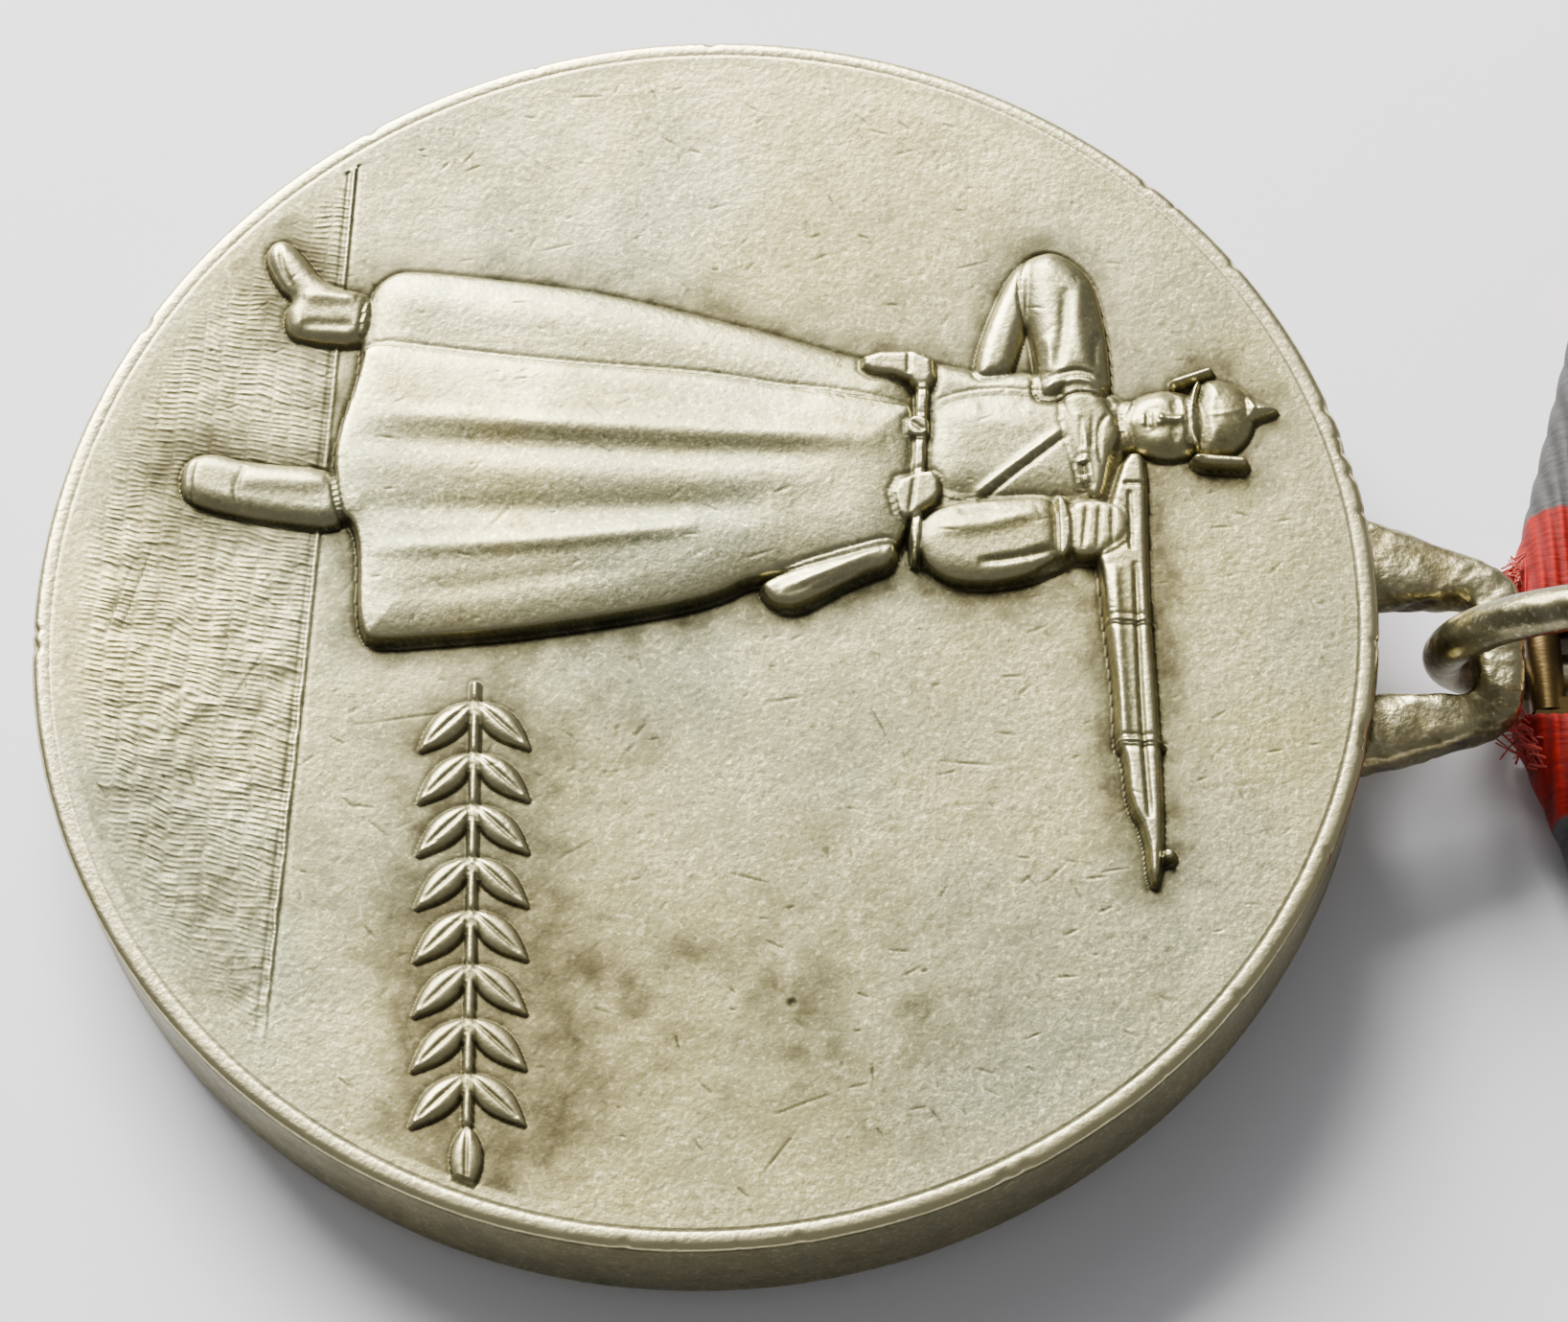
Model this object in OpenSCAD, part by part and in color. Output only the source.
// Silver jubilee medal with a swinging ring, a ribbon-covered five-sided mount and a brooch pin.
// It lies as it is put down on a table: the disc with its figure side up, its lug propped on the
// ring, and the mount with its ribbon front down. All sizes are in millimetres.

/* [Medal disc] */
// Diameter of the disc
medal_d = 32; // [26:0.5:40]
// Thickness of the disc at its rim
medal_t = 3.3; // [2.4:0.1:4.5]
// Width of the flat lip around the rim
lip_w = 0.45; // [0.3:0.05:1]
// Depth of the dished figure side at its centre
dish_depth = 0.5; // [0.3:0.05:0.8]
// Depth of the flat star side below its rim
star_side_depth = 0.5; // [0.3:0.05:0.8]
// Chamfer on the edge of the star side
edge_chamfer = 0.15; // [0.05:0.05:0.4]

/* [Figure relief] */
// Height of the standing figure above the middle of the dish
figure_h = 0.72; // [0.4:0.02:0.9]
// Height of the rifle, the belt and the boots above the middle of the dish
detail_h = 0.6; // [0.3:0.02:0.8]
// Height of the laurel sprig above the middle of the dish
sprig_h = 0.52; // [0.3:0.02:0.7]
// Scale of the figure, which is drawn for a disc of 32 mm
figure_scale = 1.0; // [0.8:0.01:1.1]

/* [Enamel star] */
// Radius of the star's points
star_r = 10.8; // [8:0.1:12.5]
// Width of the silver wall around the enamel
star_wall = 0.7; // [0.4:0.05:1.2]
// Depth of the enamel in its cell
enamel_t = 0.7; // [0.4:0.05:1]
// Gap between the enamel and its cell wall
enamel_gap = 0.02; // [0.01:0.01:0.05]

/* [Suspension lug] */
// Thickness of the lug
lug_t = 1.25; // [0.9:0.05:1.8]
// Width of the lug where it meets the disc
lug_foot_w = 6.6; // [5:0.1:9]
// Width of the lug at its round end
lug_end_w = 3.7; // [3.4:0.1:5]
// Clear width of the lug's opening
lug_open_w = 2.5; // [2.2:0.1:3]
// Distance from the disc's edge to the lug's end bar
lug_reach = 3.0; // [2.8:0.05:4]
// Diameter of the end bar that the ring hangs on
lug_bar_d = 1.2; // [0.9:0.05:1.4]

/* [Ring] */
// Diameter of the ring's wire
ring_wire_d = 1.1; // [0.8:0.05:1.2]
// Radius of the ring at the middle of its wire
ring_r = 3.25; // [3:0.05:4]
// Free play between the ring's wire and what hangs in it
ring_play = 0.1; // [0.06:0.01:0.2]
// How far the ring is turned about the vertical
ring_yaw = 7; // [-8:0.5:8]
// How far the ring leans over to one side
ring_lean = 10; // [0:0.5:12]
// How far the ring's centre is raised, as seen from the lug's bar
ring_rise = 9; // [5:0.5:14]

/* [Ribbon mount] */
// Width of the ribbon-covered mount
mount_w = 24.6; // [22:0.1:31]
// Length of the mount from its blunt tip to its straight top
mount_l = 31; // [26:0.5:40]
// Slope of the two lower edges
tip_slope = 17; // [12:1:30]
// How far the mount is turned from the medal's upright axis
mount_turn = 3; // [-5:0.5:5]
// Distance from the mount's tip to the bar of its ear
tip_to_ear = 1.3; // [1:0.1:2]
// Thickness of the ribbon
ribbon_t = 0.4; // [0.3:0.05:0.6]
// Width of the slit in the ribbon that the ring passes through
slit_w = 2.7; // [2.5:0.1:4]
// Least thickness of the card under the ribbon's front
card_t = 0.8; // [0.4:0.05:1]
// Thickness of the metal mount plate
plate_t = 0.8; // [0.6:0.05:1.2]
// Gap left between stacked pieces
stack_gap = 0.04; // [0.02:0.01:0.1]
// Diameter of the bar at the end of the ear
ear_bar_d = 0.9; // [0.8:0.05:1.2]
// Clear width of the ear's eye
ear_eye_w = 2.0; // [1.8:0.1:2.4]
// Width of the metal each side of the ear's eye
ear_leg_w = 0.9; // [0.6:0.05:1.2]

/* [Brooch] */
// Length of the back plate across the mount
back_plate_w = 20; // [16:0.5:22]
// Height of the back plate
back_plate_h = 8; // [6:0.5:12]
// Thickness of the back plate
back_plate_t = 0.6; // [0.4:0.05:1]
// Distance from the mount's top edge to the brooch pin
pin_from_top = 9; // [7:0.5:14]
// Diameter of the pin's wire
pin_d = 1.0; // [0.8:0.05:1.2]
// Distance between the pin's hinge and its catch
pin_span = 16; // [12:0.5:17]
// Length of the point beyond the catch
pin_point = 2.6; // [2:0.1:4]
// Height of the pin's axis above the back plate
pin_lift = 1.5; // [1.3:0.05:2]
// Diameter of the hinge rivet
hinge_rivet_d = 0.8; // [0.6:0.05:1]
// Running clearance around the hinge rivet
hinge_play = 0.04; // [0.02:0.01:0.08]
// Sheet thickness of the hinge bracket and the catch
bracket_t = 0.5; // [0.4:0.05:0.7]
// Diameter of the rivets through the back plate
plate_rivet_d = 1.2; // [0.9:0.1:1.6]
// Distance between the two plate rivets
plate_rivet_span = 8; // [6:0.5:9]

/* [Hidden] */

ROUND = 96;
FINE = 48;
eps = 0.01;
through = 6;
medal_r = medal_d / 2;
bowl_r = medal_r - lip_w;
relief_root = 0.25;

// Lug, in the disc's own frame: x is the medal's upright axis, z = 0 is the star side's rim.
lug_x = medal_r + lug_reach;
lug_z = medal_t / 2;
lug_shoulder_x = lug_x - 0.35;
lug_corner_r = lug_bar_d / 2;
lug_overlap = 1;

// The ring hangs on the lug's bar, and its own wire sets how far its centre is from the bar.
wire_r = ring_wire_d / 2;
ring_hang = ring_r - wire_r - lug_bar_d / 2 - ring_play;
ring_height = ring_r * cos(ring_lean) + wire_r;

// The medal is tipped about its far edge until the lug's bar is where the standing ring holds it.
bar_height = ring_height - ring_hang * sin(ring_rise);
lie_tilt = asin(bar_height / norm([medal_r + lug_x, lug_z])) - atan2(lug_z, medal_r + lug_x);
bar_x = -medal_r + (medal_r + lug_x) * cos(lie_tilt) - lug_z * sin(lie_tilt);
ring_x = bar_x + ring_hang * cos(ring_rise) * cos(ring_yaw);
ring_y = ring_hang * cos(ring_rise) * sin(ring_yaw);

// Stack of the mount, upwards from the table. The ring's wire lies under the ear's bar, so the
// plate is never lower than the wire lets it be, and the card fills the space below it.
ear_hang = ring_r - wire_r - ear_bar_d / 2 - ring_play;
lowest_ear = ring_height - ear_hang * cos(ring_lean) + stack_gap / 2;
card_z = ribbon_t + stack_gap;
plate_z = max(card_z + card_t + stack_gap, lowest_ear - plate_t / 2);
card_full = plate_z - stack_gap - card_z;
flap_z = plate_z + plate_t + stack_gap;
ribbon_top = flap_z + ribbon_t;
back_z = ribbon_top + stack_gap;
back_top = back_z + back_plate_t;

// The ear's bar hangs in the ring too, at the height of the mount plate.
ear_z = plate_z + plate_t / 2;
ear_drop = (ear_z - ring_height) / cos(ring_lean);
ear_along = -sqrt(ear_hang * ear_hang - ear_drop * ear_drop);
ear_side = -ear_drop * sin(ring_lean);
ear_x = ring_x + ear_along * cos(ring_yaw) - ear_side * sin(ring_yaw);
ear_y = ring_y + ear_along * sin(ring_yaw) + ear_side * cos(ring_yaw);

// How far along the mount the ring reaches at a given height above the table.
function ring_reach(z) = let (drop = (ring_height - z) / cos(ring_lean), outer = ring_r + wire_r)
    sqrt(outer * outer - drop * drop) - ear_along;

// Mount frame: its origin is under the ear's bar and x runs towards the mount's straight top. Where
// the lug hangs lower than the ribbon's top, the ribbon's slit is wide enough for the lug's end.
lug_low = bar_height - lug_t / 2 - 2 * stack_gap;
lug_play = 0.4;
slit_full = lug_low > ribbon_top ? slit_w : max(slit_w, lug_end_w + 2 * lug_play);
tip_x = -tip_to_ear;
top_x = tip_x + mount_l;
swing_room = 0.45;
slit_margin = 0.3;
eye_end = ring_reach(plate_z + plate_t) + swing_room;
slit_end = max(ring_reach(ribbon_top) + swing_room, eye_end + slit_margin);
plate_inset = ribbon_t + 2 * stack_gap;
ear_half = ear_eye_w / 2 + ear_leg_w;

// Stitches on the mount's back, from its slit to the back plate, and the heads of the rivets.
pin_x = top_x - pin_from_top;
stitch = [0.7, 0.22, 0.16];
stitch_pitch = 1.15;
stitch_start = slit_end + 1.4;
stitch_margin = 0.5;
stitch_end = pin_x - back_plate_h / 2 - stitch_margin - stitch[0];
stitch_count = floor((stitch_end - stitch_start) / stitch_pitch) + 1;
rivet_head_h = 0.45;
rivet_head_r = 0.85 * plate_rivet_d;
rivet_crown_r = 1.6;

// Brooch pin, its hinge and its catch.
pin_z = back_top + pin_lift;
knuckle_wall = 0.55;
knuckle_r = hinge_rivet_d / 2 + hinge_play + knuckle_wall;
knuckle_w = 1.3;
knuckle_gap = 0.08;
cheek_in = knuckle_w / 2 + knuckle_gap;
cheek_out = cheek_in + bracket_t;
foot_t = bracket_t - 0.1;
rivet_end = 0.25;
catch_gap = pin_d / 2 + 0.12;
catch_depth = 2.0;
catch_foot = 1;
pin_past_catch = 0.8;
point_r = 0.06;
hinge_y = -pin_span / 2;
catch_y = pin_span / 2;

// Whole object's box, so that the origin is on the table under its middle.
function turned(p, a) = [p[0] * cos(a) - p[1] * sin(a), p[0] * sin(a) + p[1] * cos(a)];
function mount_outline(inset) = let (
        half = mount_w / 2 - inset,
        apex = tip_x + inset / cos(tip_slope),
        shoulder = apex + half * tan(tip_slope),
        top = top_x - inset)
    [[apex, 0], [shoulder, -half], [top, -half], [top, half], [shoulder, half]];
mount_corners = [for (p = mount_outline(0)) [ear_x, ear_y] + turned(p, mount_turn)];
x_low = -medal_r - (medal_t - edge_chamfer) * sin(lie_tilt);
x_high = max([for (c = mount_corners) c[0]]);
y_low = min(-medal_r, min([for (c = mount_corners) c[1]]));
y_high = max(medal_r, max([for (c = mount_corners) c[1]]));
middle = [(x_low + x_high) / 2, (y_low + y_high) / 2, 0];

// ---------- places ----------
module on_disc() {
    translate(-middle) translate([-medal_r, 0, 0]) rotate([0, -lie_tilt, 0])
        translate([medal_r, 0, 0]) children();
}

module on_ring() {
    translate(-middle) translate([ring_x, ring_y, ring_height]) rotate([0, 0, ring_yaw])
        rotate([ring_lean, 0, 0]) children();
}

module on_mount() {
    translate(-middle) translate([ear_x, ear_y, 0]) rotate([0, 0, mount_turn]) children();
}

// The figure's drawing is upright: x across, y up. This lays it on the disc with its head to +x.
module drawn_up() {
    rotate([0, 0, -90]) scale(figure_scale * medal_d / 32) children();
}

// ---------- small shapes ----------
module bar2d(p, q, r) {
    d = q - p;
    translate(p) circle(r, $fn = FINE);
    translate(q) circle(r, $fn = FINE);
    translate(p) rotate(atan2(d[1], d[0])) translate([0, -r]) square([norm(d), 2 * r]);
}

module leaf2d(at, angle, length, width) {
    bow = (length * length / 4 + width * width / 4) / width;
    translate(at) rotate(angle) translate([length / 2, 0]) intersection() {
        translate([0, bow - width / 2]) circle(bow, $fn = FINE);
        translate([0, width / 2 - bow]) circle(bow, $fn = FINE);
    }
}

module star2d(r) {
    inner = r * sin(18) / sin(54);
    polygon([for (i = [0:9]) let (q = i % 2 == 0 ? r : inner) [q * cos(36 * i), q * sin(36 * i)]]);
}

// A raised flat shape that stands on the dish, with its height above the middle of the dish.
module relief(h) {
    translate([0, 0, medal_t - dish_depth - relief_root])
        linear_extrude(h + relief_root) drawn_up() children();
}

// ---------- medal ----------
module coat2d() {
    polygon([[-6.6, 5.2], [-7.5, 2.0], [-8.3, -1.2], [-8.8, -4.4], [-9.0, -8.2], [-8.4, -8.6], [-6.9, -8.8],
             [-5.8, -8.8], [-3.6, -9.3], [-1.8, -8.6], [1.1, -8.1], [1.35, -7.6], [0.7, -4.2], [0, -0.4],
             [-0.8, 1.8], [-1.6, 5.2]]);
}

module torso2d() {
    polygon([[-6.3, 5.2], [-6.5, 7.2], [-6.2, 9.6], [-4.6, 10.2], [-2.4, 9.6], [-1.2, 8.6], [-0.8, 7.0],
             [-1.0, 5.6], [-1.6, 5.2]]);
}

module arms2d() {
    bar2d([-8.9, 8.35], [-6.6, 8.7], 0.95);
    bar2d([-9.0, 7.9], [-7.2, 7.3], 0.75);
    bar2d([-2.1, 6.1], [-2.3, 8.2], 0.95);
}

module head2d() {
    translate([-5.1, 11.0]) circle(1.1, $fn = FINE);
    translate([-5.15, 12.0]) circle(1.15, $fn = FINE);
    polygon([[-5.75, 12.9], [-5.55, 13.5], [-5.3, 12.9]]);
    bar2d([-4.0, 11.6], [-4.0, 12.8], 0.2);
    bar2d([-6.5, 11.9], [-6.2, 11.2], 0.2);
}

module rifle2d() {
    polygon([[-4.4, 9.8], [-4.0, 10.5], [6.9, 10.9], [6.9, 10.6], [5.4, 10.5], [5.0, 10.1],
             [0, 9.6], [-1.4, 9.5]]);
}

module boots2d() {
    bar2d([-7.7, -8.4], [-7.7, -10.0], 0.7);
    bar2d([-7.9, -10.2], [-9.2, -11.0], 0.45);
    bar2d([-2.7, -8.6], [-2.9, -11.9], 0.7);
}

module kit2d() {
    bar2d([-6.7, 5.0], [-1.6, 5.0], 0.22);
    translate([-7.0, 3.7]) square([0.8, 1.4]);
    translate([-3.6, 4.3]) square([1.2, 1.0]);
    bar2d([-1.3, 4.4], [-0.4, 2.0], 0.4);
}

// Stem and paired leaves, in the band to the right of the coat.
module sprig2d() {
    stem = [[2.2, -5.3], [13.2, -4.6]];
    pairs = 8;
    slope = atan2(stem[1][1] - stem[0][1], stem[1][0] - stem[0][0]);
    bar2d(stem[0], stem[1], 0.13);
    for (i = [0:pairs - 1]) {
        at = stem[0] + (stem[1] - stem[0]) * (i + 0.3) / (pairs + 0.2);
        for (side = [-1, 1]) leaf2d(at, slope + 45 * side, 1.9, 0.75);
    }
    leaf2d(stem[1], slope, 1.6, 0.75);
}

// Half section of the blank: chamfered edge, dished figure side and recessed star side.
module disc_blank() {
    bow = (bowl_r * bowl_r + dish_depth * dish_depth) / (2 * dish_depth);
    steps = 24;
    dish = [for (i = [0:steps]) let (r = bowl_r * i / steps)
        [r, medal_t - dish_depth + bow - sqrt(bow * bow - r * r)]];
    edge = [[medal_r, medal_t], [medal_r, edge_chamfer], [medal_r - edge_chamfer, 0],
            [medal_r - 2 * lip_w, 0], [medal_r - 2 * lip_w, star_side_depth], [0, star_side_depth]];
    rotate_extrude($fn = ROUND) polygon(concat(dish, edge));
}

module medal_disc() {
    color("silver") on_disc() {
        difference() {
            union() {
                disc_blank();
                linear_extrude(star_side_depth + eps) star2d(star_r + star_wall);
                relief(figure_h) {
                    coat2d();
                    torso2d();
                    arms2d();
                    head2d();
                }
                relief(detail_h) {
                    rifle2d();
                    boots2d();
                    kit2d();
                }
                relief(sprig_h) sprig2d();
            }
            translate([0, 0, -eps]) linear_extrude(enamel_t + eps) star2d(star_r);
        }
    }
}

module star_enamel() {
    color("firebrick") on_disc() linear_extrude(enamel_t - enamel_gap) star2d(star_r - 2 * enamel_gap);
}

module suspension_lug() {
    foot = medal_r - lug_overlap;
    color("silver") on_disc() translate([0, 0, lug_z]) {
        translate([0, 0, -lug_t / 2]) linear_extrude(lug_t) difference() {
            union() {
                polygon([[foot, -lug_foot_w / 2], [medal_r, -lug_foot_w / 2],
                         [lug_shoulder_x, -lug_end_w / 2], [lug_shoulder_x, lug_end_w / 2],
                         [medal_r, lug_foot_w / 2], [foot, lug_foot_w / 2]]);
                for (side = [-1, 1]) translate([lug_x - 0.1, side * (lug_end_w / 2 - lug_corner_r)])
                    circle(lug_corner_r, $fn = FINE);
            }
            circle(medal_r + eps, $fn = ROUND);
            translate([foot, -lug_open_w / 2]) square([lug_reach + 2 * lug_overlap, lug_open_w]);
        }
        translate([lug_x, 0, 0]) rotate([90, 0, 0])
            cylinder(h = (lug_open_w + lug_end_w) / 2, r = lug_bar_d / 2, center = true, $fn = FINE);
    }
}

module connecting_ring() {
    color("silver") on_ring() rotate([90, 0, 0]) rotate_extrude($fn = ROUND)
        translate([ring_r, 0]) circle(wire_r, $fn = FINE);
}

// ---------- mount ----------
module slit(half, far) {
    translate([tip_x - 1, -half, -1]) cube([far - tip_x + 1, 2 * half, ribbon_top + 2]);
}

module ribbon() {
    color("lightgrey") on_mount() difference() {
        linear_extrude(ribbon_top) polygon(mount_outline(0));
        translate([0, 0, ribbon_t]) linear_extrude(flap_z - ribbon_t) polygon(mount_outline(ribbon_t));
        slit(slit_full / 2, slit_end);
        rivet_bores(stack_gap);
    }
}

module stiffener_card() {
    color("tan") on_mount() difference() {
        translate([0, 0, card_z]) linear_extrude(card_full) polygon(mount_outline(plate_inset));
        slit(slit_full / 2, slit_end);
    }
}

module mount_plate() {
    color("darkgoldenrod") on_mount() {
        translate([0, 0, plate_z]) linear_extrude(plate_t) difference() {
            union() {
                difference() {
                    polygon(mount_outline(plate_inset));
                    translate([tip_x, -slit_full / 2]) square([slit_end - tip_x, slit_full]);
                }
                translate([0, -ear_half]) square([slit_end + 1, 2 * ear_half]);
            }
            translate([-ear_bar_d, -ear_eye_w / 2]) square([eye_end + ear_bar_d, ear_eye_w]);
            for (s = [-1, 1]) translate([pin_x, s * plate_rivet_span / 2])
                circle(plate_rivet_d / 2 + stack_gap, $fn = FINE);
        }
        translate([0, 0, ear_z]) rotate([90, 0, 0])
            cylinder(h = slit_w - 2 * stack_gap, r = ear_bar_d / 2, center = true, $fn = FINE);
    }
}

module rivet_bores(gap) {
    for (s = [-1, 1]) translate([pin_x, s * plate_rivet_span / 2, flap_z - eps])
        cylinder(h = ribbon_top - flap_z + 2 * eps, r = plate_rivet_d / 2 + gap, $fn = FINE);
}

// Running stitches that close the two folded ends on the mount's back.
module ribbon_stitches() {
    color("dimgray") on_mount() for (i = [0:stitch_count - 1])
        translate([stitch_start + stitch_pitch * i, 0, ribbon_top]) cube(stitch);
}

module back_plate() {
    color("goldenrod") on_mount() translate([pin_x, 0, back_z]) linear_extrude(back_plate_t) difference() {
        square([back_plate_h, back_plate_w], center = true);
        for (s = [-1, 1]) translate([0, s * plate_rivet_span / 2])
            circle(plate_rivet_d / 2 + stack_gap, $fn = FINE);
    }
}

module plate_rivets() {
    color("goldenrod") on_mount() for (s = [-1, 1]) translate([pin_x, s * plate_rivet_span / 2, plate_z])
        union() {
            cylinder(h = back_top - plate_z, r = plate_rivet_d / 2, $fn = FINE);
            translate([0, 0, back_top - plate_z]) intersection() {
                cylinder(h = rivet_head_h, r = rivet_head_r, $fn = FINE);
                translate([0, 0, rivet_head_h - rivet_crown_r]) sphere(rivet_crown_r, $fn = FINE);
            }
        }
}

module hinge_bracket() {
    color("goldenrod") on_mount() translate([pin_x, hinge_y, back_top]) difference() {
        union() {
            translate([-cheek_out, -knuckle_r, 0]) cube([2 * cheek_out, 2 * knuckle_r, foot_t]);
            for (side = [-1, 1]) translate([side * (cheek_in + bracket_t / 2), 0, 0]) {
                translate([-bracket_t / 2, -knuckle_r, 0]) cube([bracket_t, 2 * knuckle_r, pin_lift]);
                translate([0, 0, pin_lift]) rotate([0, 90, 0])
                    cylinder(h = bracket_t, r = knuckle_r, center = true, $fn = FINE);
            }
        }
        translate([0, 0, pin_lift]) rotate([0, 90, 0])
            cylinder(h = through, r = hinge_rivet_d / 2 + eps, center = true, $fn = FINE);
    }
}

module hinge_rivet() {
    color("silver") on_mount() translate([pin_x, hinge_y, pin_z]) rotate([0, 90, 0]) {
        cylinder(h = 2 * (cheek_out + rivet_end), r = hinge_rivet_d / 2, center = true, $fn = FINE);
        for (side = [-1, 1]) translate([0, 0, side * (cheek_out + 0.6 * rivet_end)])
            cylinder(h = rivet_end, r = 0.8 * hinge_rivet_d, center = true, $fn = FINE);
    }
}

module brooch_pin() {
    shank = pin_span + pin_past_catch;
    color("silver") on_mount() translate([pin_x, hinge_y, pin_z]) difference() {
        union() {
            rotate([0, 90, 0])
                cylinder(h = knuckle_w, r = knuckle_r - knuckle_gap, center = true, $fn = FINE);
            rotate([-90, 0, 0]) cylinder(h = shank, r = pin_d / 2, $fn = FINE);
            translate([0, shank, 0]) rotate([-90, 0, 0])
                cylinder(h = pin_point, r1 = pin_d / 2, r2 = point_r, $fn = FINE);
        }
        rotate([0, 90, 0])
            cylinder(h = through, r = hinge_rivet_d / 2 + hinge_play, center = true, $fn = FINE);
    }
}

// A bent saddle that holds the pin's end: the pin lifts straight out of its mouth.
module pin_catch() {
    side_x = catch_gap + bracket_t;
    color("goldenrod") on_mount() translate([pin_x, catch_y + catch_depth / 2, back_top]) rotate([90, 0, 0])
        linear_extrude(catch_depth) difference() {
            union() {
                translate([-side_x, 0]) square([2 * side_x, pin_lift]);
                for (side = [-1, 1]) translate([side * (catch_gap + bracket_t / 2), pin_lift])
                    circle(bracket_t / 2, $fn = FINE);
                translate([-side_x - catch_foot, 0]) square([2 * (side_x + catch_foot), foot_t]);
            }
            translate([0, pin_lift]) circle(catch_gap, $fn = FINE);
            translate([-catch_gap, pin_lift]) square([2 * catch_gap, bracket_t]);
        }
}

medal_disc();
star_enamel();
suspension_lug();
connecting_ring();
mount_plate();
stiffener_card();
ribbon();
ribbon_stitches();
back_plate();
plate_rivets();
hinge_bracket();
hinge_rivet();
brooch_pin();
pin_catch();
